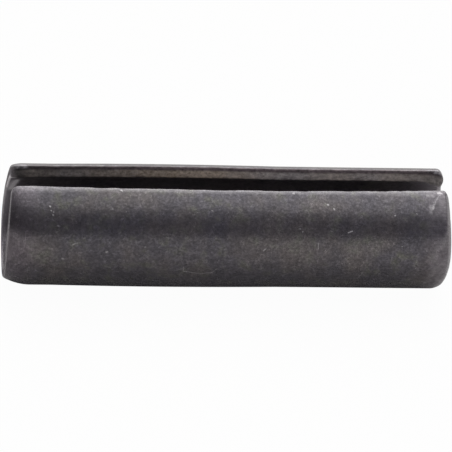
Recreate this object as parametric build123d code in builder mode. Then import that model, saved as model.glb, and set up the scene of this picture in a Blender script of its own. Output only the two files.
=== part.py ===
from build123d import *
from math import asin, atan2, cos, degrees, radians, sin, tan
import os

# Slotted spring pin: a strip of spring steel rolled into an open tube, with a straight
# slot along it, and both ends swaged in so that they lead the pin into its hole.
#
# The pin lies along X with its slot up, towards +Z. The origin is on the pin's axis, at
# the middle of its length. All sizes are in millimetres and degrees.

# The rolled strip
pin_length = 20.0
outer_diameter = 5.5            # as made, before the pin is driven into its hole
wall_thickness = 0.5
slot_width = 1.65               # straight across, between the outer edges of the two lips

# The lead end, at -X, has a long gentle taper
lead_length = 1.1
lead_drop = 0.27                # how far the outside is drawn in at the very end
lead_bore_drop = 0.12           # how far the inside is drawn in there
lead_rake = 5.8                 # how far the slot side leans back from square

# The nose end, at +X, has a short round taper
nose_length = 0.55
nose_drop = 0.31
nose_bore_drop = 0.18
nose_rake = 2.2

# Edges
rake_bend = 1.0                 # half the height over which an end bends into its rake
lip_corner_radius = 0.28        # the strip's four corners, seen flat
edge_radius = 0.09              # every long edge and rim

# Places worked out from the sizes
outer_radius = outer_diameter / 2
bore_radius = outer_radius - wall_thickness
throat_radius = bore_radius - max(lead_bore_drop, nose_bore_drop)
half_slot_angle = asin(slot_width / 2 / outer_radius)
lead_x = -pin_length / 2
nose_x = pin_length / 2
lead_taper_x = lead_x + lead_length
nose_taper_x = nose_x - nose_length

# How far the drawn tube and its cutter run past the pin, so that one trims the other
arc_overrun = 1.15
cutter_reach = 1.5 * outer_radius


def swaged_skin(start_x, outward, radius, length, drop):
    """One skin of the wall at a swaged end: an arc that draws it in by drop over length,
    and runs on a little, to be trimmed."""
    arc_radius = (length**2 + drop**2) / (2 * drop)
    turn = 2 * degrees(atan2(drop, length))
    return JernArc((start_x, radius), (outward, 0), arc_radius, -outward * arc_overrun * turn)


# The outline of the strip as a cutter: its slot and two ends, with the corners rounded
with BuildPart() as trimming:
    # The slot's faces are radial, as the sheared edges of a rolled strip are. The cutter
    # reaches down into the bore, but not to the axis, where its two sides would meet.
    slot_floor = 0.9 * throat_radius * cos(half_slot_angle)
    with BuildSketch(Plane.YZ):
        with BuildLine():
            right_side = Line(
                (slot_floor * tan(half_slot_angle), slot_floor),
                (cutter_reach * tan(half_slot_angle), cutter_reach),
            )
            left_side = mirror(right_side, Plane.YZ)
            Line(right_side @ 0, left_side @ 0)
            Line(right_side @ 1, left_side @ 1)
        make_face()
    extrude(amount=nose_x + lip_corner_radius, both=True)

    # Each end is square to the axis below, and leans back over the pin towards the slot
    for end_x, outward, rake in ((lead_x, -1, radians(lead_rake)), (nose_x, 1, radians(nose_rake))):
        outside_x = end_x + outward * cutter_reach
        bend_top = (end_x - outward * rake_bend * sin(rake), rake_bend * cos(rake))
        with BuildSketch(Plane.XZ):
            with BuildLine():
                square = Line((end_x, -cutter_reach), (end_x, -rake_bend))
                bend = TangentArc(square @ 1, bend_top, tangent=(0, 1))
                lean = Line(bend @ 1, bend @ 1 + cutter_reach * (bend % 1))
                Polyline(lean @ 1, (outside_x, (lean @ 1).Y), (outside_x, -cutter_reach), square @ 0)
            make_face()
        extrude(amount=cutter_reach, both=True)
        corners = trimming.edges(Select.NEW).filter_by(Axis.Y, reverse=True)
        fillet(corners, lip_corner_radius)

# The wall's section, turned about the axis into a drawn tube, and trimmed to the strip
with BuildPart() as slotted_spring_pin:
    with BuildSketch(Plane.XZ):
        with BuildLine():
            Line((lead_taper_x, outer_radius), (nose_taper_x, outer_radius))
            Line((lead_taper_x, bore_radius), (nose_taper_x, bore_radius))
            lead = swaged_skin(lead_taper_x, -1, outer_radius, lead_length, lead_drop)
            lead_bore = swaged_skin(lead_taper_x, -1, bore_radius, lead_length, lead_bore_drop)
            nose = swaged_skin(nose_taper_x, 1, outer_radius, nose_length, nose_drop)
            nose_bore = swaged_skin(nose_taper_x, 1, bore_radius, nose_length, nose_bore_drop)
            Line(lead @ 1, lead_bore @ 1)
            Line(nose @ 1, nose_bore @ 1)
        make_face()
    revolve(axis=Axis.X)
    add(trimming.part, mode=Mode.SUBTRACT)
    fillet(slotted_spring_pin.edges(Select.NEW), edge_radius)

slotted_spring_pin.part.label = "slotted_spring_pin"
os.makedirs("parts", exist_ok=True)
export_step(slotted_spring_pin.part, "parts/slotted_spring_pin.step")
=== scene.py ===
import math
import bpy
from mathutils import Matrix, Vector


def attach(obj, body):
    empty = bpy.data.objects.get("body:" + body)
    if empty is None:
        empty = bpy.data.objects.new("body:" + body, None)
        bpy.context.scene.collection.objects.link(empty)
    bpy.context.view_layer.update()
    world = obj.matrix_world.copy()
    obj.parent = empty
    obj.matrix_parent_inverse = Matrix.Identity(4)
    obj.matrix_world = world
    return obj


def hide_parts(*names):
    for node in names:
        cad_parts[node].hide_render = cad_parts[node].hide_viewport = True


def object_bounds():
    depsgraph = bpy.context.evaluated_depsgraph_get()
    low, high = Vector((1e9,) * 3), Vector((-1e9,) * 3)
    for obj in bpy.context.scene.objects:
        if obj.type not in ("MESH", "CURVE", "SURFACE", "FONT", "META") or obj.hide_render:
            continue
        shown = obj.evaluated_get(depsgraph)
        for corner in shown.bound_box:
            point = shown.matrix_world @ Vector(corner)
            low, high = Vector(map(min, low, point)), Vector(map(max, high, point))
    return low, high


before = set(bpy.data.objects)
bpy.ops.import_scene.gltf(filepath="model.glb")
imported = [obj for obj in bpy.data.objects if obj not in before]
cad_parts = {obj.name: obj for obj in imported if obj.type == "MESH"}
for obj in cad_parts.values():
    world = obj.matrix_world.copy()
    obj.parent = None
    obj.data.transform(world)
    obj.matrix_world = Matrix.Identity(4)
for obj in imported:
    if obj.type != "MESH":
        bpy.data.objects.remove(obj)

from types import SimpleNamespace

import bpy
from mathutils import Matrix, Vector

# A slotted spring pin: a strip of spring steel rolled into an open tube, with its ends
# swaged in, under a black phosphate coat. It lies along X with its slot up. Blender works
# in metres, and MM turns a size in millimetres into them.

MM = 0.001
MATH = "ShaderNodeMath"
VECTOR = "ShaderNodeVectorMath"
SPLIT = "ShaderNodeSeparateXYZ"
JOIN = "ShaderNodeCombineXYZ"
NOISE = "ShaderNodeTexNoise"
RANGE = "ShaderNodeMapRange"
MIX = "ShaderNodeMix"

cad_low, cad_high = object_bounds()


def linear(hex_code):
    """The linear colour of an sRGB hex value such as 3a3b3d."""
    channels = [int(hex_code[i:i + 2], 16) / 255 for i in (0, 2, 4)]
    return [c / 12.92 if c <= 0.04045 else ((c + 0.055) / 1.055) ** 2.4 for c in channels] + [1.0]


def add(tree, kind, inputs=None, **settings):
    """Adds a node. An input given a node or a socket is linked to it, and any other is set."""
    node = tree.nodes.new(kind)
    for name, value in settings.items():
        setattr(node, name, value)
    for name, value in (inputs or {}).items():
        if isinstance(value, bpy.types.Node):
            value = value.outputs[0]
        if isinstance(value, bpy.types.NodeSocket):
            tree.links.new(value, node.inputs[name])
        else:
            node.inputs[name].default_value = value
    return node


# ---------------------------------------------------------------------------
# The rolled strip
# ---------------------------------------------------------------------------

# Millimetres and degrees, one for each named input of the tree
STRIP_SIZES = {
    "Length": 19.95,
    "Outer Radius": 2.75,
    "Wall": 0.58,
    "Slot Half Angle": 18.85,
    "Slot Turn": 1.15,                # how far the slot lies off the top, towards the back
    "Edge Radius": 0.085,             # the two sheared edges
    "Lead Corner Radius": 0.33,       # the strip's corners, seen flat
    "Nose Corner Radius": 0.3,
    "Lead Edge Radius": 0.09,         # the cut ends' edges
    "Nose Edge Radius": 0.28,
    "Lead Length": 1.2,               # the long taper at -X
    "Lead Drop": 0.31,
    "Lead Bore Length": 1.2,          # how the bore's skin follows
    "Lead Bore Drop": 0.12,
    "Lead Rake": 6.6,                 # how far the end leans back over the slot
    "Lead Bend": 2.0,                 # the bend that the lean starts with
    "Lead Twist": 0.35,               # the share by which it leans more at the back
    "Lead Skew": -0.4,                # how far it is off square, seen from above
    "Lead Front Shortness": 0.25,     # how much shorter and shallower it is along the front lip
    "Lead Back Shortness": 0.33,      # and along the back lip
    "Nose Length": 0.78,              # the short round taper at +X
    "Nose Drop": 0.42,
    "Nose Bore Length": 1.4,
    "Nose Bore Drop": 0.36,
    "Nose Rake": 4.9,
    "Nose Bend": 1.0,
    "Nose Twist": 0.1,
    "Nose Skew": 0.6,
    "Nose Front Shortness": 0.35,
    "Nose Back Shortness": 0.27,
    "Closing": 0.16,                  # how far the front lip leans over the slot at each end
    "Barrel": 0.04,                   # how much thinner the ends are than the belly
    "Belly": -2.8,                    # where along X the tube is fullest
    "Belly Reach": 5.0,               # how far from there it is as thin as it gets
    "Waviness": 0.02,                 # the rolls leave the wall a little out of round
    "Lip Waviness": 0.05,             # and the slot a little off straight
    "Shear Roughness": 0.04,          # the torn part of the strip's sheared edges
    "Nicks": 0.03,                    # dings along the edges
}
STRIP_COUNTS = {"Along": 300, "Around": 150, "Through": 11, "Seed": 7}

# Each end's name in the sizes, and which way it points along X
ENDS = (("Lead", -1.0), ("Nose", 1.0))
# How strongly the blank's rows crowd towards its edges: along, around and through it
CROWDING = (0.27, 0.27, 0.13)
# Each lip's own form: where it starts and where it is full, in radians from the underside
BACK_LIP = (-1.9, -2.6)
FRONT_LIP = (1.2, 2.5)


def flat_sizes(tree, size):
    """The flat strip's half sizes, and the radius and half the turn that it is rolled to."""
    half_wall = add(tree, MATH, {0: size["Wall"], 1: 0.5}, operation="MULTIPLY")
    half_length = add(tree, MATH, {0: size["Length"], 1: 0.5}, operation="MULTIPLY")
    radius = add(tree, MATH, {0: size["Outer Radius"], 1: half_wall}, operation="SUBTRACT")
    half_turn = add(tree, MATH, {0: 180.0, 1: size["Slot Half Angle"]}, operation="SUBTRACT")
    half_turn = add(tree, MATH, {0: half_turn}, operation="RADIANS")
    half_width = add(tree, MATH, {0: radius, 1: half_turn}, operation="MULTIPLY")
    return SimpleNamespace(half_length=half_length, half_width=half_width, half_wall=half_wall,
                           radius=radius, half_turn=half_turn)


def edge_radii(tree, size, half, point, reach):
    """The corner radius at a point, the edge radius, and how far its edge is an end's and not
    a lip's. Each end has its own radii, and the edge radius turns to them round a corner."""
    nose_side = add(tree, MATH, {0: add(tree, SPLIT, {0: point}), 1: 0.0},
                    operation="GREATER_THAN")
    corner_radius = add(tree, MIX, {
        0: nose_side, 2: size["Lead Corner Radius"], 3: size["Nose Corner Radius"]})
    corner = add(tree, VECTOR, {0: half, 1: corner_radius}, operation="SUBTRACT")
    corner = add(tree, VECTOR, {0: reach, 1: corner}, operation="SUBTRACT")
    corner = add(tree, VECTOR, {0: corner, 1: (0, 0, 0)}, operation="MAXIMUM")
    corner = add(tree, VECTOR, {0: corner, 1: (1, 1, 0)}, operation="MULTIPLY")
    corner = add(tree, VECTOR, {0: corner}, operation="NORMALIZE")
    corner = add(tree, VECTOR, {0: corner, 1: corner}, operation="MULTIPLY")
    towards_end = add(tree, SPLIT, {0: corner}).outputs[0]
    edge_radius = add(tree, MIX, {
        0: nose_side, 2: size["Lead Edge Radius"], 3: size["Nose Edge Radius"]})
    edge_radius = add(tree, MIX, {0: towards_end, 2: size["Edge Radius"], 3: edge_radius})
    return corner_radius, edge_radius, towards_end


def flat_blank(tree, size, flat):
    """A cube whose rows crowd towards its edges, for the rounding and the tapers, becomes the
    flat strip with rounded corners and edges. Its mesh keeps two vectors for each point. The
    strip vector is its place on the flat strip: along X, around the middle of the wall, and
    through it. The edge vector says how near it is to the crest of an edge's round, how far it
    has turned from the skin to the cut face, and how far that face is an end's."""
    blank = add(tree, "GeometryNodeMeshCube", {
        "Size": (2, 2, 2), "Vertices X": size["Along"], "Vertices Y": size["Around"],
        "Vertices Z": size["Through"]})
    place = add(tree, "GeometryNodeInputPosition")
    wave = add(tree, VECTOR, {0: place, 1: (math.pi,) * 3}, operation="MULTIPLY")
    wave = add(tree, VECTOR, {0: wave}, operation="SINE")
    crowded = add(tree, VECTOR, {0: wave, 1: CROWDING, 2: place}, operation="MULTIPLY_ADD")
    half = add(tree, JOIN, {0: flat.half_length, 1: flat.half_width, 2: flat.half_wall})
    point = add(tree, VECTOR, {0: crowded, 1: half}, operation="MULTIPLY")
    side = add(tree, VECTOR, {0: point}, operation="SIGN")
    reach = add(tree, VECTOR, {0: point}, operation="ABSOLUTE")
    corner_radius, edge_radius, towards_end = edge_radii(tree, size, half, point, reach)

    # Each point is split into a core and what lies over it in the rounded margin
    margin = add(tree, JOIN, {0: corner_radius, 1: corner_radius, 2: edge_radius})
    core = add(tree, VECTOR, {0: half, 1: margin}, operation="SUBTRACT")
    core = add(tree, VECTOR, {0: reach, 1: core}, operation="MINIMUM")
    over = add(tree, VECTOR, {0: reach, 1: core}, operation="SUBTRACT")
    outward = add(tree, VECTOR, {0: over, 1: (1, 1, 0)}, operation="MULTIPLY")
    outward = add(tree, VECTOR, {0: outward}, operation="NORMALIZE")
    over = add(tree, SPLIT, {0: over}).outputs
    outermost = add(tree, MATH, {0: over[0], 1: over[1]}, operation="MAXIMUM")

    # The edge's quarter round, across the margin and through the wall
    before_edge = add(tree, MATH, {0: corner_radius, 1: edge_radius}, operation="SUBTRACT")
    past_edge = add(tree, MATH, {0: outermost, 1: before_edge}, operation="SUBTRACT")
    past_edge = add(tree, MATH, {0: past_edge, 1: 0.0}, operation="MAXIMUM")
    edge_turn = add(tree, JOIN, {0: past_edge, 2: over[2]})
    edge_turn = add(tree, VECTOR, {0: edge_turn}, operation="NORMALIZE")
    edge = add(tree, VECTOR, {0: edge_turn, "Scale": edge_radius}, operation="SCALE")
    edge = add(tree, SPLIT, {0: edge}).outputs
    outermost = add(tree, MATH, {0: outermost, 1: before_edge}, operation="MINIMUM")
    outermost = add(tree, MATH, {0: outermost, 1: edge[0]}, operation="ADD")
    outward = add(tree, VECTOR, {0: outward, "Scale": outermost}, operation="SCALE")
    upward = add(tree, JOIN, {2: edge[2]})
    strip = add(tree, VECTOR, {0: core, 1: outward}, operation="ADD")
    strip = add(tree, VECTOR, {0: strip, 1: upward}, operation="ADD")
    strip = add(tree, VECTOR, {0: strip, 1: side}, operation="MULTIPLY")

    # Half way round an edge, the sine of twice the turn is 1: that is its crest
    turned = add(tree, SPLIT, {0: edge_turn}).outputs
    crest = add(tree, MATH, {0: turned[0], 1: turned[2]}, operation="MULTIPLY")
    crest = add(tree, MATH, {0: crest, 1: 2.0}, operation="MULTIPLY")
    edge = add(tree, JOIN, {0: crest, 1: turned[0], 2: towards_end})
    for name, value in (("strip", strip), ("edge", edge)):
        blank = add(tree, "GeometryNodeStoreNamedAttribute", {
            "Geometry": blank, "Name": name, "Value": value},
            data_type="FLOAT_VECTOR", domain="POINT")
    return blank, strip


def leaning_ends(tree, size, flat, along, angle):
    """Each point's X. The ends lean back over the pin towards the slot, in a bend and then
    straight. Their twist makes them lean more at the back and less in front, and their skew
    puts them off square."""
    sine = add(tree, MATH, {0: angle}, operation="SINE")
    cosine = add(tree, MATH, {0: angle}, operation="COSINE")
    height = add(tree, MATH, {0: cosine, 1: flat.radius}, operation="MULTIPLY")
    height = add(tree, MATH, {0: height, 1: -1.0}, operation="MULTIPLY")
    beside = add(tree, MATH, {0: sine, 1: flat.radius}, operation="MULTIPLY")
    beside = add(tree, MATH, {0: beside, 1: size["Outer Radius"]}, operation="ADD")
    x = along
    for end, outward in ENDS:
        # The slope grows from 0 at one bend below the axis to 1 at one bend above it
        bend_size = size[end + " Bend"]
        down = add(tree, MATH, {0: bend_size, 1: -1.0}, operation="MULTIPLY")
        bend = add(tree, "ShaderNodeClamp", {"Value": height, "Min": down, "Max": bend_size})
        bend = add(tree, MATH, {0: bend, 1: bend_size}, operation="ADD")
        bend = add(tree, MATH, {0: bend, 1: 2.0}, operation="POWER")
        bend = add(tree, MATH, {0: bend, 1: bend_size}, operation="DIVIDE")
        straight = add(tree, MATH, {0: height, 1: bend_size}, operation="SUBTRACT")
        straight = add(tree, MATH, {0: straight, 1: 0.0}, operation="MAXIMUM")
        lean = add(tree, MATH, {0: bend, 1: 0.25, 2: straight}, operation="MULTIPLY_ADD")

        rake = add(tree, MATH, {0: size[end + " Rake"]}, operation="RADIANS")
        rake = add(tree, MATH, {0: rake}, operation="TANGENT")
        twist = add(tree, MATH, {0: size[end + " Twist"], 1: sine}, operation="MULTIPLY")
        twist = add(tree, MATH, {0: 1.0, 1: twist}, operation="SUBTRACT")
        rake = add(tree, MATH, {0: rake, 1: twist}, operation="MULTIPLY")
        skew = add(tree, MATH, {0: size[end + " Skew"]}, operation="RADIANS")
        skew = add(tree, MATH, {0: skew}, operation="TANGENT")
        shift = add(tree, MATH, {0: skew, 1: beside}, operation="MULTIPLY")
        shift = add(tree, MATH, {0: rake, 1: lean, 2: shift}, operation="MULTIPLY_ADD")

        # The shift is whole at the end and fades to none in the middle of the pin
        share = add(tree, MATH, {0: along, 1: flat.half_length}, operation="DIVIDE")
        share = add(tree, MATH, {0: share, 1: outward}, operation="MULTIPLY")
        share = add(tree, MATH, {0: share, 1: 0.0}, operation="MAXIMUM")
        share = add(tree, MATH, {0: share, 1: -outward}, operation="MULTIPLY")
        x = add(tree, MATH, {0: shift, 1: share, 2: x}, operation="MULTIPLY_ADD")
    return x


def swaged_wall(tree, size, flat, x, angle, through):
    """Each point's distance from the axis. At the ends the outer skin is drawn in by a drop
    that grows as a square, and that is shorter and shallower along the lips. The bore's skin
    follows in a soft step. The tube is fullest at its belly."""
    # 0 on the bore's skin and 1 on the outer one
    skin_share = add(tree, MATH, {0: through, 1: size["Wall"]}, operation="DIVIDE")
    skin_share = add(tree, MATH, {0: skin_share, 1: 0.5}, operation="ADD")
    by_back, by_front = (
        add(tree, RANGE, {"Value": angle, "From Min": start, "From Max": full},
            interpolation_type="SMOOTHSTEP")
        for start, full in (BACK_LIP, FRONT_LIP))
    radius = add(tree, MATH, {0: flat.radius, 1: through}, operation="ADD")
    for end, outward in ENDS:
        kept = add(tree, MATH, {0: by_back, 1: size[end + " Back Shortness"]},
                   operation="MULTIPLY")
        kept = add(tree, MATH, {0: by_front, 1: size[end + " Front Shortness"], 2: kept},
                   operation="MULTIPLY_ADD")
        kept = add(tree, MATH, {0: 1.0, 1: kept}, operation="SUBTRACT")
        length = add(tree, MATH, {0: size[end + " Length"], 1: kept}, operation="MULTIPLY")
        start = add(tree, MATH, {0: flat.half_length, 1: length}, operation="SUBTRACT")
        towards = add(tree, MATH, {0: x, 1: outward}, operation="MULTIPLY")
        past = add(tree, MATH, {0: towards, 1: start}, operation="SUBTRACT")
        past = add(tree, MATH, {0: past, 1: 0.0}, operation="MAXIMUM")
        past = add(tree, MATH, {0: past, 1: length}, operation="DIVIDE")
        past = add(tree, MATH, {0: past, 1: 2.0}, operation="POWER")
        drop = add(tree, MATH, {0: size[end + " Drop"], 1: past}, operation="MULTIPLY")
        drop = add(tree, MATH, {0: drop, 1: kept}, operation="MULTIPLY")

        # Along the lips the bore's drop loses half the share that the outer skin's does
        start = add(tree, MATH, {0: flat.half_length, 1: size[end + " Bore Length"]},
                    operation="SUBTRACT")
        step = add(tree, RANGE, {
            "Value": towards, "From Min": start, "From Max": flat.half_length},
            interpolation_type="SMOOTHSTEP")
        half_kept = add(tree, MATH, {0: kept, 1: 0.5, 2: 0.5}, operation="MULTIPLY_ADD")
        bore_drop = add(tree, MATH, {0: size[end + " Bore Drop"], 1: step},
                        operation="MULTIPLY")
        bore_drop = add(tree, MATH, {0: bore_drop, 1: half_kept}, operation="MULTIPLY")
        drop = add(tree, MIX, {0: skin_share, 2: bore_drop, 3: drop}, clamp_factor=False)
        radius = add(tree, MATH, {0: radius, 1: drop}, operation="SUBTRACT")

    from_belly = add(tree, MATH, {0: x, 1: size["Belly"]}, operation="SUBTRACT")
    from_belly = add(tree, MATH, {0: from_belly, 1: size["Belly Reach"]}, operation="DIVIDE")
    from_belly = add(tree, MATH, {0: from_belly, 1: 2.0}, operation="POWER")
    from_belly = add(tree, MATH, {0: from_belly, 1: 1.0}, operation="MINIMUM")
    thinner = add(tree, MATH, {0: from_belly, 1: size["Barrel"]}, operation="MULTIPLY")
    return add(tree, MATH, {0: radius, 1: thinner}, operation="SUBTRACT")


def wavering_lips(tree, size, flat, along, x, angle):
    """Each point's angle from the underside. The front lip bows over the slot towards each
    end, both lips waver every 3 mm or so, and the slot as a whole lies off the top."""
    from_middle = add(tree, MATH, {0: x, 1: flat.half_length}, operation="DIVIDE")
    from_middle = add(tree, MATH, {0: from_middle, 1: 2.0}, operation="POWER")
    closing = add(tree, MATH, {0: from_middle, 1: size["Closing"]}, operation="MULTIPLY")
    by_front = add(tree, RANGE, {
        "Value": angle, "From Min": FRONT_LIP[0], "From Max": flat.half_turn})
    closing = add(tree, MATH, {0: closing, 1: by_front}, operation="MULTIPLY")

    wavering = add(tree, NOISE, {"W": along, "Scale": 0.35, "Detail": 2.0},
                   noise_dimensions="1D")
    wavering = add(tree, MATH, {0: wavering, 1: 0.5}, operation="SUBTRACT")
    lip_share = add(tree, MATH, {0: angle, 1: flat.half_turn}, operation="DIVIDE")
    lip_share = add(tree, MATH, {0: lip_share, 1: 5.0}, operation="POWER")
    wavering = add(tree, MATH, {0: wavering, 1: lip_share}, operation="MULTIPLY")
    shift = add(tree, MATH, {0: wavering, 1: size["Lip Waviness"], 2: closing},
                operation="MULTIPLY_ADD")
    shift = add(tree, MATH, {0: shift, 1: flat.radius}, operation="DIVIDE")
    angle = add(tree, MATH, {0: angle, 1: shift}, operation="ADD")
    turn = add(tree, MATH, {0: size["Slot Turn"]}, operation="RADIANS")
    return add(tree, MATH, {0: angle, 1: turn}, operation="ADD")


def surface_relief(tree, size, flat):
    """The surface's offset, in metres. The rolls leave shallow waves of about 6 by 2 mm. Torn
    pits of about 0.3 mm cover the sheared faces from near the middle of the wall inwards, and
    nicks of about 0.6 mm cut the edges."""
    strip, edge = (
        add(tree, "GeometryNodeInputNamedAttribute", {"Name": name}, data_type="FLOAT_VECTOR")
        for name in ("strip", "edge"))
    through = add(tree, SPLIT, {0: strip}).outputs[2]
    crest = add(tree, SPLIT, {0: edge}).outputs[0]
    long_waves = add(tree, VECTOR, {0: strip, 1: (0.16, 0.5, 0.0)}, operation="MULTIPLY")
    waves = add(tree, NOISE, {
        "Vector": long_waves, "W": size["Seed"], "Scale": 1.0, "Detail": 1.0},
        noise_dimensions="4D")
    waves = add(tree, MATH, {0: waves, 1: -1.0}, operation="MULTIPLY")
    waves = add(tree, MATH, {0: waves, 1: size["Waviness"]}, operation="MULTIPLY")

    away = add(tree, VECTOR, {0: strip}, operation="ABSOLUTE")
    away = add(tree, SPLIT, {0: away}).outputs
    lip_start = add(tree, MATH, {0: flat.half_width, 1: size["Edge Radius"]},
                    operation="SUBTRACT")
    lip_face = add(tree, RANGE, {
        "Value": away[1], "From Min": lip_start, "From Max": flat.half_width})
    torn = add(tree, RANGE, {"Value": through, "From Min": 0.14, "From Max": 0.02})
    tearing = add(tree, NOISE, {
        "Vector": strip, "W": size["Seed"], "Scale": 3.6, "Detail": 3.0, "Roughness": 0.6},
        noise_dimensions="4D")
    tearing = add(tree, MATH, {0: tearing, 1: -0.75}, operation="ADD")
    for share in (lip_face, torn, size["Shear Roughness"]):
        tearing = add(tree, MATH, {0: tearing, 1: share}, operation="MULTIPLY")

    nicks = add(tree, NOISE, {
        "Vector": strip, "W": size["Seed"], "Scale": 1.7, "Detail": 2.0, "Roughness": 0.65},
        noise_dimensions="4D")
    nicks = add(tree, RANGE, {"Value": nicks, "From Min": 0.5, "From Max": 0.75})
    for share in (crest, size["Nicks"]):
        nicks = add(tree, MATH, {0: nicks, 1: share}, operation="MULTIPLY")
    relief = add(tree, MATH, {0: waves, 1: tearing}, operation="ADD")
    relief = add(tree, MATH, {0: relief, 1: nicks}, operation="SUBTRACT")
    relief = add(tree, MATH, {0: relief, 1: MM}, operation="MULTIPLY")
    normal = add(tree, "GeometryNodeInputNormal")
    return add(tree, VECTOR, {0: normal, "Scale": relief}, operation="SCALE")


def strip_tree():
    """A flat blank with rounded corners and edges is rolled up about X. Its ends are swaged
    in and lean back, its wall is a little wavy, and its sheared edges are rough."""
    tree = bpy.data.node_groups.new("rolled_strip", "GeometryNodeTree")
    tree.interface.new_socket("Mesh", in_out="OUTPUT", socket_type="NodeSocketGeometry")
    for name in STRIP_SIZES:
        tree.interface.new_socket(name, in_out="INPUT", socket_type="NodeSocketFloat")
    for name in STRIP_COUNTS:
        tree.interface.new_socket(name, in_out="INPUT", socket_type="NodeSocketInt")
    tree.interface.new_socket("Material", in_out="INPUT", socket_type="NodeSocketMaterial")
    size = add(tree, "NodeGroupInput").outputs
    flat = flat_sizes(tree, size)

    blank, strip = flat_blank(tree, size, flat)
    along, around, through = add(tree, SPLIT, {0: strip}).outputs
    angle = add(tree, MATH, {0: around, 1: flat.radius}, operation="DIVIDE")
    x = leaning_ends(tree, size, flat, along, angle)
    radius = swaged_wall(tree, size, flat, x, angle, through)
    angle = wavering_lips(tree, size, flat, along, x, angle)

    # The strip's middle lies underneath, and its positive side comes up in front
    sine = add(tree, MATH, {0: angle}, operation="SINE")
    cosine = add(tree, MATH, {0: angle}, operation="COSINE")
    y = add(tree, MATH, {0: radius, 1: sine}, operation="MULTIPLY")
    z = add(tree, MATH, {0: radius, 1: cosine}, operation="MULTIPLY")
    rolled = add(tree, JOIN, {0: x, 1: y, 2: z})
    rolled = add(tree, VECTOR, {0: rolled, 1: (MM, -MM, -MM)}, operation="MULTIPLY")
    tube = add(tree, "GeometryNodeSetPosition", {"Geometry": blank, "Position": rolled})
    relief = surface_relief(tree, size, flat)
    tube = add(tree, "GeometryNodeSetPosition", {"Geometry": tube, "Offset": relief})
    tube = add(tree, "GeometryNodeSetShadeSmooth", {"Geometry": tube, "Shade Smooth": True})
    tube = add(tree, "GeometryNodeRealizeInstances", {"Geometry": tube})
    tube = add(tree, "GeometryNodeSetMaterial", {"Geometry": tube, "Material": size["Material"]})
    add(tree, "NodeGroupOutput", {"Mesh": tube})
    return tree


def add_pin(material):
    """The pin, as one plain mesh, stands for its CAD node."""
    blank = bpy.data.objects.new("blank", bpy.data.meshes.new("blank"))
    bpy.context.scene.collection.objects.link(blank)
    tree = strip_tree()
    rolling = blank.modifiers.new("rolling", "NODES")
    rolling.node_group = tree
    values = dict(STRIP_SIZES, **STRIP_COUNTS, Material=material)
    for socket in tree.interface.items_tree:
        if socket.in_out == "INPUT":
            rolling[socket.identifier] = values[socket.name]
    bpy.context.view_layer.update()
    solid = blank.evaluated_get(bpy.context.evaluated_depsgraph_get())
    pin = bpy.data.objects.new("rolled_pin", bpy.data.meshes.new_from_object(solid))
    bpy.context.scene.collection.objects.link(pin)
    bpy.data.objects.remove(blank)
    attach(pin, "root")
    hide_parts("slotted_spring_pin")


# ---------------------------------------------------------------------------
# The finish
# ---------------------------------------------------------------------------

# Places on the strip are in millimetres: along it from the pin's middle, and around it from
# the underside, up to the front lip at about 6.9 and the back lip at about -6.9.

# Patterns that run on in space: repeats in a millimetre, detail and roughness
PATTERNS = {
    "broad": (0.45, 3.0, 0.55),       # 2.2 mm: clouds in the coat
    "blotches": (1.6, 3.0, 0.6),      # 0.6 mm
    "clumps": (4.0, 2.0, 0.6),        # 0.25 mm: the crystals' clumps
    "crystals": (9.0, 3.0, 0.75),     # drawn at 0.11 mm: real ones, of 0.01 mm, don't show
}
# Patterns that follow the strip: repeats along, around and through it, then the same two
STRIP_PATTERNS = {
    "lengthwise": ((2.5, 14.0, 14.0), 2.0, 0.6),    # 0.4 by 0.07 mm: rubbed along the pin
    "tears": ((6.0, 6.0, 9.0), 4.0, 0.7),           # 0.17 mm, and 0.11 mm through the wall
}
PAINTED_SHADE_SIDE = 5.52                      # around: where the painted shade on the lead's taper is darkest
PAINTED_REFLECTION_FRONT = 4.15                     # around: the middle of the front's band of painted reflection
GILT_MIDDLE = -2.4                    # along: the middle of the sheared faces' golden stretch
GILT_REACH = 4.5                      # and how far it reaches from there

# Marks on the outer skin: where each starts and ends, along and around, then half its width
# and how bare it is
MARKS = (
    ((9.16, 6.14), (9.13, 6.04), 0.060, 0.55),
    ((5.21, 5.12), (5.40, 5.17), 0.035, 0.85),      # short dashes
    ((3.86, 4.68), (3.88, 4.44), 0.030, 0.50),
    ((5.80, 2.95), (5.98, 3.30), 0.035, 0.25),
    ((-7.06, 4.50), (-6.86, 4.56), 0.030, 0.30),
    ((-2.10, 3.55), (-2.08, 3.32), 0.030, 0.22),    # part of a faint ring
    ((-2.08, 3.32), (-1.40, 3.17), 0.030, 0.28),
    ((-1.40, 3.17), (-0.80, 3.24), 0.030, 0.28),
    ((-0.80, 3.24), (-0.62, 3.46), 0.030, 0.20),
    ((-8.19, 5.99), (-8.17, 5.98), 0.045, 0.65),    # chips
    ((-8.13, 5.82), (-8.11, 5.81), 0.035, 0.50),
    ((-8.01, 5.78), (-8.00, 5.76), 0.035, 0.50),
    ((-8.04, 5.65), (-8.03, 5.63), 0.045, 0.60),
    ((-5.58, 4.20), (-5.53, 4.22), 0.060, 0.45),
    ((1.42, 4.36), (1.50, 4.42), 0.050, 0.50),
    ((3.16, 5.14), (3.17, 5.13), 0.035, 0.75),
    ((4.32, 6.25), (4.35, 6.24), 0.055, 0.75),
    ((4.60, 6.08), (4.61, 6.06), 0.040, 0.65),
    ((7.36, 5.79), (7.38, 5.78), 0.045, 0.70),
    ((-7.49, 3.87), (-7.44, 3.86), 0.050, 0.40),
    ((-5.03, 6.77), (-4.98, 6.75), 0.045, 0.60),    # on the lips
    ((2.77, 6.77), (2.82, 6.75), 0.045, 0.60),
    ((1.22, -6.81), (1.29, -6.80), 0.040, 0.70),
)
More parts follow.
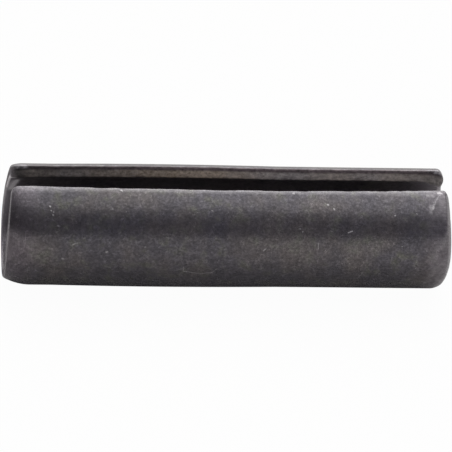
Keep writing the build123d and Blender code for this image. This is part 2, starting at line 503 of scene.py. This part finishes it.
# Bright steel drawn in streaks: a soft one over the nose taper, and at the lips' corners
BRIGHT_STREAKS = (
    ((9.48, 6.64), (9.26, 6.33), 0.05, 0.60),
    ((9.26, 6.33), (9.08, 6.14), 0.08, 0.55),
    ((9.08, 6.14), (9.02, 5.85), 0.12, 0.50),
    ((9.42, 6.76), (9.60, 6.72), 0.08, 1.00),
    ((8.95, 6.62), (9.20, 6.60), 0.12, 0.50),
    ((-9.30, 6.72), (-8.95, 6.74), 0.20, 0.20),
    ((-9.74, -6.78), (-9.36, -6.86), 0.20, 1.00),
    ((9.20, -6.84), (9.58, -6.84), 0.10, 0.70),
    ((9.58, -6.90), (9.90, -6.80), 0.18, 1.00),
)
# Pale patches in the lead's mouth, on the bore's far wall and along its rim
BORE_PATCHES = (
    ((-9.58, -5.30), (-9.72, -4.60), 0.26, 1.0),
    ((-9.96, -6.20), (-9.92, -4.70), 0.09, 1.0),
)


def bare_marks(tree, flat, marks):
    """How bare the surface is under straight marks on the flat strip, and 0 away from them."""
    bare = 0.0
    for start, end, half_width, bareness in marks:
        run = Vector((end[0] - start[0], end[1] - start[1], 0.0))
        from_start = add(tree, VECTOR, {0: flat, 1: (*start, 0.0)}, operation="SUBTRACT")
        share = add(tree, VECTOR, {0: from_start, 1: run / run.length_squared},
                    operation="DOT_PRODUCT")
        share = add(tree, "ShaderNodeClamp", {"Value": share.outputs["Value"]})
        nearest = add(tree, VECTOR, {0: run, "Scale": share}, operation="SCALE")
        off = add(tree, VECTOR, {0: from_start, 1: nearest}, operation="DISTANCE")
        one = add(tree, RANGE, {
            "Value": off.outputs["Value"], "From Min": half_width, "From Max": half_width * 0.3,
            "To Max": bareness})
        bare = add(tree, MATH, {0: one, 1: bare}, operation="MAXIMUM")
    return bare


def steel_places(tree):
    """Where the shaded point is, in millimetres: in space, on the flat strip, and from the
    ends and the lips. Then what it is at an edge, and which skin it is on."""
    strip, edge = (add(tree, "ShaderNodeAttribute", attribute_name=name).outputs["Vector"]
                   for name in ("strip", "edge"))
    along, around, through = add(tree, SPLIT, {0: strip}).outputs
    crest, turned, towards_end = add(tree, SPLIT, {0: edge}).outputs
    place = add(tree, "ShaderNodeTexCoord").outputs["Object"]
    place = add(tree, VECTOR, {0: place, "Scale": 1 / MM}, operation="SCALE")
    flat = add(tree, VECTOR, {0: strip, 1: (1, 1, 0)}, operation="MULTIPLY")
    away = add(tree, VECTOR, {0: strip}, operation="ABSOLUTE")
    away = add(tree, SPLIT, {0: away}).outputs
    half_length = STRIP_SIZES["Length"] / 2
    half_width = (STRIP_SIZES["Outer Radius"] - STRIP_SIZES["Wall"] / 2) * math.radians(
        180 - STRIP_SIZES["Slot Half Angle"])
    to_end = add(tree, MATH, {0: half_length, 1: away[0]}, operation="SUBTRACT")
    to_lip = add(tree, MATH, {0: half_width, 1: away[1]}, operation="SUBTRACT")
    outside = add(tree, RANGE, {"Value": through, "From Min": 0.1, "From Max": 0.2})
    inside = add(tree, RANGE, {"Value": through, "From Min": -0.1, "From Max": -0.2})
    return SimpleNamespace(
        place=place, strip=strip, flat=flat, along=along, around=around, through=through,
        from_underside=away[1], to_end=to_end, to_lip=to_lip, crest=crest, turned=turned,
        towards_end=towards_end, outside=outside, inside=inside)


def steel_patterns(tree, at):
    """The patterns by name, and three more that are made from them: how browned the coat is,
    how pale a clump of crystals is, and how far rubbing gets through the coat."""
    pattern = {}
    for name, (repeats, detail, roughness) in PATTERNS.items():
        pattern[name] = add(tree, NOISE, {
            "Vector": at.place, "Scale": repeats, "Detail": detail, "Roughness": roughness})
    for name, (repeats, detail, roughness) in STRIP_PATTERNS.items():
        stretched = add(tree, VECTOR, {0: at.strip, 1: repeats}, operation="MULTIPLY")
        pattern[name] = add(tree, NOISE, {
            "Vector": stretched, "Scale": 1.0, "Detail": detail, "Roughness": roughness})
    pattern["browned"] = add(tree, RANGE, {
        "Value": pattern["broad"], "From Min": 0.42, "From Max": 0.62})
    pattern["pale clumps"] = add(tree, RANGE, {
        "Value": pattern["clumps"], "From Min": 0.3, "From Max": 0.7,
        "To Min": 0.84, "To Max": 1.16})
    pattern["rubbing"] = add(tree, RANGE, {
        "Value": pattern["lengthwise"], "From Min": 0.3, "From Max": 0.62, "To Min": 0.35})
    return pattern


def painted_lead_shading(tree, at):
    """How dark the coat is drawn over the lead's half, as painted shade and painted light: darker
    by the front lip, and on the taper darker along one side and paler elsewhere. It trims the tone
    for this studio's lights, and stands for nothing in the coat itself."""
    lead_half = add(tree, RANGE, {"Value": at.along, "From Min": -1.0, "From Max": -7.0})
    by_lip = add(tree, RANGE, {
        "Value": at.around, "From Min": 4.8, "From Max": 6.0, "To Min": 1.0, "To Max": 0.84})
    by_lip = add(tree, MIX, {0: lead_half, 2: 1.0, 3: by_lip})
    off_side = add(tree, MATH, {0: at.around, 1: PAINTED_SHADE_SIDE}, operation="SUBTRACT")
    off_side = add(tree, MATH, {0: off_side}, operation="ABSOLUTE")
    by_side = add(tree, RANGE, {
        "Value": off_side, "From Min": 0.3, "From Max": 1.0, "To Min": 0.78, "To Max": 1.2})
    lead_taper = add(tree, RANGE, {"Value": at.along, "From Min": -8.3, "From Max": -9.0},
                     interpolation_type="SMOOTHSTEP")
    return add(tree, MIX, {0: lead_taper, 2: by_lip, 3: by_side})


def painted_front_reflection(tree, at):
    """How much paler the coat is drawn in a soft band along the front, most so by the nose: a
    painted reflection. It too trims the tone for this studio's lights, by making its reflection
    there stronger."""
    off_front = add(tree, MATH, {0: at.around, 1: PAINTED_REFLECTION_FRONT}, operation="SUBTRACT")
    off_front = add(tree, MATH, {0: off_front}, operation="ABSOLUTE")
    strongest = add(tree, RANGE, {
        "Value": at.along, "From Min": -2.0, "From Max": 8.0, "To Min": 0.14, "To Max": 0.24})
    return add(tree, RANGE, {
        "Value": off_front, "From Min": 0.8, "From Max": 0.1, "To Max": strongest},
        interpolation_type="SMOOTHSTEP")


def outer_coat(tree, at, pattern):
    """The coat: plum grey, most so at the ends, browned in patches and greenish in a few, with
    paler crystals. Its tone also carries painted light and shade, trimmed for this studio's
    lights: a little paler towards the nose, the painted shade over the lead's half, and the
    painted reflection along the front."""
    green = add(tree, RANGE, {"Value": pattern["blotches"], "From Min": 0.52, "From Max": 0.7})
    plum = add(tree, RANGE, {
        "Value": at.to_end, "From Min": 1.6, "From Max": 0.6, "To Max": 0.7},
        interpolation_type="SMOOTHSTEP")
    coat = linear("565358")
    for share, tint in ((pattern["browned"], "5a5555"), (green, "575651"), (plum, "575156")):
        coat = add(tree, MIX, {0: share, 6: coat, 7: linear(tint)}, data_type="RGBA").outputs[2]

    paler = add(tree, RANGE, {"Value": pattern["crystals"], "From Min": 0.3, "From Max": 0.7})
    paler = add(tree, MATH, {0: paler, 1: 2.2}, operation="POWER")
    paler = add(tree, MATH, {0: paler, 1: 0.7}, operation="ADD")
    patch = add(tree, RANGE, {
        "Value": pattern["blotches"], "From Min": 0.3, "From Max": 0.7,
        "To Min": 0.83, "To Max": 1.17})
    cloud = add(tree, RANGE, {
        "Value": pattern["broad"], "From Min": 0.35, "From Max": 0.65,
        "To Min": 0.91, "To Max": 1.09})
    # Painted light: the coat is drawn a little paler towards the nose
    painted_light_along = add(tree, RANGE, {
        "Value": at.along, "From Min": -10.0, "From Max": 10.0, "To Min": 0.99, "To Max": 1.14})
    for share in (pattern["pale clumps"], patch, cloud, painted_light_along, painted_lead_shading(tree, at)):
        paler = add(tree, MATH, {0: paler, 1: share}, operation="MULTIPLY")
    paler = add(tree, MATH, {0: paler, 1: painted_front_reflection(tree, at), 2: paler}, operation="MULTIPLY_ADD")
    return add(tree, VECTOR, {0: coat, "Scale": paler}, operation="SCALE")


def bore_coat(tree, at, pattern):
    """How far the bore's own coat shows, and its colour. It is paler than the outer one, most
    so in its mouths and in the pale patches of the lead's. Deep inside it is drawn paler too,
    which makes up for light that this studio doesn't bring there."""
    mouths = add(tree, RANGE, {
        "Value": at.to_end, "From Min": 0.75, "From Max": 0.15, "To Min": 0.12, "To Max": 0.9})
    off_lips = add(tree, RANGE, {
        "Value": at.from_underside, "From Min": 6.4, "From Max": 5.4, "To Min": 0.2})
    off_underside = add(tree, RANGE, {
        "Value": at.from_underside, "From Min": 1.8, "From Max": 3.8, "To Min": 0.15})
    bore = mouths
    for share in (off_lips, off_underside):
        bore = add(tree, MATH, {0: bore, 1: share}, operation="MULTIPLY")
    deep = add(tree, RANGE, {
        "Value": at.to_end, "From Min": 1.5, "From Max": 7.0, "To Max": 0.26})
    nose_mouth = add(tree, RANGE, {"Value": at.along, "From Min": 8.4, "From Max": 9.5})
    for other in (deep, nose_mouth):
        bore = add(tree, MATH, {0: bore, 1: other}, operation="MAXIMUM")
    bore = add(tree, MATH, {0: bore, 1: pattern["pale clumps"]}, operation="MULTIPLY")
    patches = bare_marks(tree, at.flat, BORE_PATCHES)
    bore = add(tree, MATH, {0: bore, 1: patches}, operation="MAXIMUM")
    bore = add(tree, MATH, {0: bore, 1: at.inside}, operation="MULTIPLY", use_clamp=True)
    colour = add(tree, MIX, {
        0: patches, 6: linear("9b959a"), 7: linear("e0dcde")}, data_type="RGBA")
    return bore, colour.outputs[2]


def fine_specks(tree, flat):
    """A bare speck in each cell of 0.8 mm, up to 0.05 mm in radius, and too small to show in
    nearly half of them. They differ in brightness too."""
    cells = add(tree, "ShaderNodeTexVoronoi", {"Vector": flat, "Scale": 1.3},
                voronoi_dimensions="2D")
    drawn = add(tree, "ShaderNodeSeparateColor", {0: cells.outputs["Color"]}).outputs
    reach = add(tree, RANGE, {
        "Value": drawn[0], "From Min": 0.45, "From Max": 1.0, "To Max": 0.055})
    speck = add(tree, MATH, {0: reach, 1: cells.outputs["Distance"]}, operation="SUBTRACT")
    speck = add(tree, RANGE, {
        "Value": speck, "From Min": -0.01, "From Max": 0.03, "To Max": 0.45})
    return add(tree, MATH, {0: speck, 1: drawn[1]}, operation="MULTIPLY")


def rubbed_steel(tree, at, pattern):
    """How far the steel shows through the coat: in all, where it is rubbed and where it is
    streaked bright; the streaks' part of that; and the small marks, which are brighter."""
    # A band along each lip's outer edge, and the crests of all edges, most at the ends
    lip_reach = add(tree, RANGE, {
        "Value": at.to_end, "From Min": 4.0, "From Max": 1.0, "To Min": 0.25, "To Max": 0.4})
    lip_rub = add(tree, RANGE, {"Value": at.to_lip, "From Min": lip_reach, "From Max": 0.09,
                                "To Max": 0.42})
    for share in (at.outside, pattern["rubbing"]):
        lip_rub = add(tree, MATH, {0: lip_rub, 1: share}, operation="MULTIPLY")
    at_end = add(tree, RANGE, {
        "Value": at.to_end, "From Min": 0.4, "From Max": 0.25, "To Min": 0.12, "To Max": 0.75})
    crest_rub = add(tree, RANGE, {"Value": at.crest, "From Min": 0.3, "From Max": 1.0})
    for share in (pattern["rubbing"], at_end):
        crest_rub = add(tree, MATH, {0: crest_rub, 1: share}, operation="MULTIPLY")

    # The nose's taper is worn all over, in patches
    nose_taper = add(tree, RANGE, {"Value": at.along, "From Min": 8.6, "From Max": 9.3},
                     interpolation_type="SMOOTHSTEP")
    worn = add(tree, RANGE, {
        "Value": pattern["blotches"], "From Min": 0.35, "From Max": 0.65,
        "To Min": 0.1, "To Max": 0.36})
    for share in (nose_taper, at.outside, pattern["rubbing"]):
        worn = add(tree, MATH, {0: worn, 1: share}, operation="MULTIPLY")

    # The marks' edges are ragged, because they read the strip through a noise of 0.14 mm.
    # The bright streaks and the specks are frayed further than the small marks.
    ragged = add(tree, NOISE, {"Vector": at.place, "Scale": 7.0, "Detail": 2.0})
    ragged = add(tree, VECTOR, {0: ragged.outputs["Color"], 1: (0.5, 0.5, 0.5)},
                 operation="SUBTRACT")
    frayed, frayed_far, frayed_along = (
        add(tree, VECTOR, {0: ragged, 1: share, 2: at.flat}, operation="MULTIPLY_ADD")
        for share in ((0.07, 0.07, 0.0), (0.25, 0.25, 0.0), (0.25, 0.12, 0.0)))
    outer_part = add(tree, RANGE, {"Value": at.through, "From Min": 0.1, "From Max": 0.18})
    bright_streaks = bare_marks(tree, frayed_far, BRIGHT_STREAKS)
    for share in (pattern["rubbing"], outer_part):
        bright_streaks = add(tree, MATH, {0: bright_streaks, 1: share}, operation="MULTIPLY")
    rub = 0.0
    for one in (lip_rub, crest_rub, worn, bright_streaks):
        rub = add(tree, MATH, {0: one, 1: rub}, operation="MAXIMUM", use_clamp=True)

    broken = add(tree, RANGE, {
        "Value": pattern["crystals"], "From Min": 0.35, "From Max": 0.55, "To Min": 0.65})
    marks = add(tree, MATH, {0: bare_marks(tree, frayed, MARKS), 1: broken},
                operation="MULTIPLY")
    marks = add(tree, MATH, {0: marks, 1: fine_specks(tree, frayed_along)}, operation="MAXIMUM")
    marks = add(tree, MATH, {0: marks, 1: at.outside}, operation="MULTIPLY")
    return rub, bright_streaks, marks


def sheared_faces(tree, at, pattern, bright_streaks):
    """How far a point is on a lip's sheared face, and that face's colour: a smooth dark strip
    by the outer edge, a torn brown one below it, which is golden in a stretch near the pin's
    middle, and all of it darker towards the ends."""
    sheared = add(tree, RANGE, {"Value": at.turned, "From Min": 0.4, "From Max": 0.95})
    for other in (at.towards_end, bright_streaks):
        not_other = add(tree, MATH, {0: 1.0, 1: other}, operation="SUBTRACT")
        sheared = add(tree, MATH, {0: sheared, 1: not_other}, operation="MULTIPLY")
    torn = add(tree, RANGE, {"Value": at.through, "From Min": 0.13, "From Max": 0.035})
    golden = add(tree, MATH, {0: at.along, 1: GILT_MIDDLE}, operation="SUBTRACT")
    golden = add(tree, MATH, {0: golden}, operation="ABSOLUTE")
    golden = add(tree, RANGE, {
        "Value": golden, "From Min": GILT_REACH, "From Max": 1.0, "To Max": 0.7})
    golden = add(tree, MATH, {0: pattern["browned"], 1: 0.3, 2: golden},
                 operation="MULTIPLY_ADD")
    brown = add(tree, MIX, {
        0: golden, 6: linear("aca6a4"), 7: linear("b4a592")}, data_type="RGBA")
    face = add(tree, MIX, {
        0: torn, 6: linear("6a6062"), 7: brown.outputs[2]}, data_type="RGBA")

    light = add(tree, RANGE, {
        "Value": pattern["tears"], "From Min": 0.3, "From Max": 0.7,
        "To Min": 0.45, "To Max": 1.55})
    # Where along the strip each dark stretch is darkest and where it is over, and how dark
    for darkest, over, dark in ((-8.0, -1.8, 0.46), (-9.6, -9.0, 0.35), (9.7, 7.6, 0.48)):
        share = add(tree, RANGE, {
            "Value": at.along, "From Min": darkest, "From Max": over, "To Min": dark})
        light = add(tree, MATH, {0: light, 1: share}, operation="MULTIPLY")
    face = add(tree, VECTOR, {0: face.outputs[2], "Scale": light}, operation="SCALE")
    return sheared, face


def phosphated_spring_steel():
    """Spring steel strip under a black phosphate coat, oiled. The eye sees a dark, faintly
    purple grey of fine crystals, soft in its shine, browned in places, rubbed to bright
    steel along the lips and rims, and brown and torn where the strip was sheared."""
    material = bpy.data.materials.new("phosphated_spring_steel")
    material.use_nodes = True
    tree = material.node_tree
    shader = tree.nodes["Principled BSDF"]
    at = steel_places(tree)
    pattern = steel_patterns(tree, at)
    bore, bore_colour = bore_coat(tree, at, pattern)
    rub, bright_streaks, marks = rubbed_steel(tree, at, pattern)
    sheared, face = sheared_faces(tree, at, pattern, bright_streaks)

    colour = outer_coat(tree, at, pattern)
    for share, over in ((bore, bore_colour), (rub, linear("a4a1a3")),
                        (marks, linear("c8c4c5")), (sheared, face)):
        colour = add(tree, MIX, {0: share, 6: colour, 7: over}, data_type="RGBA").outputs[2]

    # The coat's crystals scatter some of the shine, the bore and the cut faces more
    metallic = add(tree, RANGE, {"Value": rub, "To Min": 0.6, "To Max": 0.9})
    for share, over in ((bore, 0.2), (marks, 0.4)):
        metallic = add(tree, MIX, {0: share, 2: metallic, 3: over})
    roughness = add(tree, RANGE, {
        "Value": pattern["crystals"], "From Min": 0.3, "From Max": 0.7,
        "To Min": 0.36, "To Max": 0.24})
    cut = add(tree, RANGE, {"Value": at.turned, "From Min": 0.8, "From Max": 1.0})
    for share, over in ((rub, 0.36), (sheared, 0.5), (bore, 0.6), (cut, 0.6)):
        roughness = add(tree, MIX, {0: share, 2: roughness, 3: over})

    # Relief: crystals all over, and the torn strip's ridges
    ridges = add(tree, MATH, {0: pattern["tears"], 1: sheared}, operation="MULTIPLY")
    relief = add(tree, MATH, {0: pattern["clumps"], 1: 0.6, 2: pattern["crystals"]},
                 operation="MULTIPLY_ADD")
    relief = add(tree, MATH, {0: ridges, 1: 3.0, 2: relief}, operation="MULTIPLY_ADD")
    bump = add(tree, "ShaderNodeBump", {"Strength": 0.5, "Distance": 0.012 * MM, "Height": relief})
    for name, socket in (("Base Color", colour), ("Metallic", metallic.outputs[0]),
                         ("Roughness", roughness.outputs[0]), ("Normal", bump.outputs[0])):
        tree.links.new(socket, shader.inputs[name])
    return material


# ---------------------------------------------------------------------------
# The studio
# ---------------------------------------------------------------------------

# The softboxes' sizes and places are in metres
SOFTBOX_WIDTH = 0.5
SOFTBOX_HEIGHT = 0.45
SOFTBOX_X = 0.09


def mirrored_ray(tree, seen):
    """1 for a ray that metal or glass sends on, and 0 for any other."""
    return add(tree, MATH, {0: seen["Is Glossy Ray"], 1: seen["Is Transmission Ray"]},
               operation="MAXIMUM")


def add_floor():
    """A white table top. To the camera it is nearly pure white, with a trace of the pin's
    shadow, and metal and glass see it nearly as it is lit."""
    camera_share, mirrored_share = 0.97, 0.01
    half = 1.0                        # metres
    z = cad_low.z
    mesh = bpy.data.meshes.new("table_top")
    corners = [(-half, -half, z), (half, -half, z), (half, half, z), (-half, half, z)]
    mesh.from_pydata(corners, [], [(0, 1, 2, 3)])
    table = bpy.data.objects.new("table_top", mesh)
    bpy.context.scene.collection.objects.link(table)
    material = bpy.data.materials.new("white_table_top")
    material.use_nodes = True
    tree = material.node_tree
    tree.nodes.clear()
    seen = add(tree, "ShaderNodeLightPath").outputs
    lit = add(tree, "ShaderNodeBsdfDiffuse", {"Color": linear("d0cecc")})
    white = add(tree, "ShaderNodeEmission", {"Color": linear("ffffff"), "Strength": 1.0})
    share = add(tree, MATH, {0: mirrored_ray(tree, seen), 1: mirrored_share},
                operation="MULTIPLY")
    share = add(tree, MATH, {0: seen["Is Camera Ray"], 1: camera_share, 2: share},
                operation="MULTIPLY_ADD")
    mixed = add(tree, "ShaderNodeMixShader", {0: share, 1: lit, 2: white})
    add(tree, "ShaderNodeOutputMaterial", {"Surface": mixed})
    mesh.materials.append(material)


def add_world():
    """A white backdrop behind and above the table, and a low white wall all round it. Above
    that wall the room is dim in front and to the left."""
    world = bpy.data.worlds.new("studio")
    bpy.context.scene.world = world
    world.use_nodes = True
    tree = world.node_tree
    tree.nodes.clear()
    seen = add(tree, "ShaderNodeLightPath").outputs
    direction = add(tree, "ShaderNodeTexCoord").outputs["Generated"]
    right, back, up = add(tree, SPLIT, {0: direction}).outputs
    backdrop = add(tree, VECTOR, {0: direction, 1: (0.0, 0.8, 0.6)}, operation="DOT_PRODUCT")
    backdrop = add(tree, RANGE, {
        "Value": backdrop.outputs["Value"], "From Min": -0.2, "From Max": 0.5},
        interpolation_type="SMOOTHSTEP")
    left_dim = add(tree, RANGE, {
        "Value": right, "From Min": -0.55, "From Max": -0.15, "To Min": 0.15},
        interpolation_type="SMOOTHSTEP")
    backdrop = add(tree, MATH, {0: backdrop, 1: left_dim}, operation="MULTIPLY")
    low = add(tree, RANGE, {"Value": up, "From Min": 0.28, "From Max": 0.16},
              interpolation_type="SMOOTHSTEP")

    # The camera sees all of it as white, and metal and glass see the part behind as white
    behind = add(tree, MATH, {0: back, 1: 0.3}, operation="GREATER_THAN")
    mirrored = add(tree, MATH, {0: mirrored_ray(tree, seen), 1: behind}, operation="MULTIPLY")
    for white in (low, mirrored, seen["Is Camera Ray"]):
        backdrop = add(tree, MATH, {0: backdrop, 1: white}, operation="MAXIMUM")
    room = add(tree, RANGE, {"Value": right, "From Min": -0.5, "From Max": -0.05})
    room = add(tree, MIX, {0: room, 6: linear("464652"), 7: linear("656575")}, data_type="RGBA")
    colour = add(tree, MIX, {
        0: backdrop, 6: room.outputs[2], 7: linear("ffffff")}, data_type="RGBA")
    lit = add(tree, "ShaderNodeBackground", {"Color": colour.outputs[2], "Strength": 1.0})
    add(tree, "ShaderNodeOutputWorld", {"Surface": lit})


def add_softbox(name, front, back, radiance):
    """A broad softbox overhead, a little to the right of the pin's middle."""
    data = bpy.data.lights.new(name, "AREA")
    data.shape = "RECTANGLE"
    data.size, data.size_y = SOFTBOX_WIDTH, back - front
    data.energy = radiance * math.pi * data.size * data.size_y
    lamp = bpy.data.objects.new(name, data)
    lamp.location = (SOFTBOX_X, (front + back) / 2, SOFTBOX_HEIGHT)
    bpy.context.scene.collection.objects.link(lamp)


def add_camera():
    """A long lens, above and to the left of the front, turned a little about its own line."""
    azimuth, elevation, roll = math.radians(-7.5), math.radians(35.41), math.radians(5.0)
    distance = 173.0                  # millimetres
    pixels_per_mm = 22.33
    aim = (-0.35, 0.17)               # pixels from the pin's middle to the picture's
    width = 452
    back = Vector((
        math.sin(azimuth) * math.cos(elevation),
        -math.cos(azimuth) * math.cos(elevation),
        math.sin(elevation),
    ))
    data = bpy.data.cameras.new("camera")
    data.sensor_width = 36.0
    data.lens = data.sensor_width * pixels_per_mm * distance / width
    data.clip_start, data.clip_end = 0.01, 10.0
    camera = bpy.data.objects.new("camera", data)
    bpy.context.scene.collection.objects.link(camera)
    turn = back.to_track_quat("Z", "Y").to_matrix() @ Matrix.Rotation(roll, 3, "Z")
    middle = turn @ Vector((aim[0], aim[1], 0.0)) / pixels_per_mm
    camera.matrix_world = Matrix.Translation((back * distance + middle) * MM) @ turn.to_4x4()
    bpy.context.scene.camera = camera


add_camera()
add_world()
add_softbox("overhead_softbox", front=-0.2, back=0.12, radiance=0.66)
add_softbox("back_softbox", front=0.12, back=0.64, radiance=2.3)
add_floor()
add_pin(phosphated_spring_steel())
bpy.context.scene.view_settings.view_transform = "Standard"
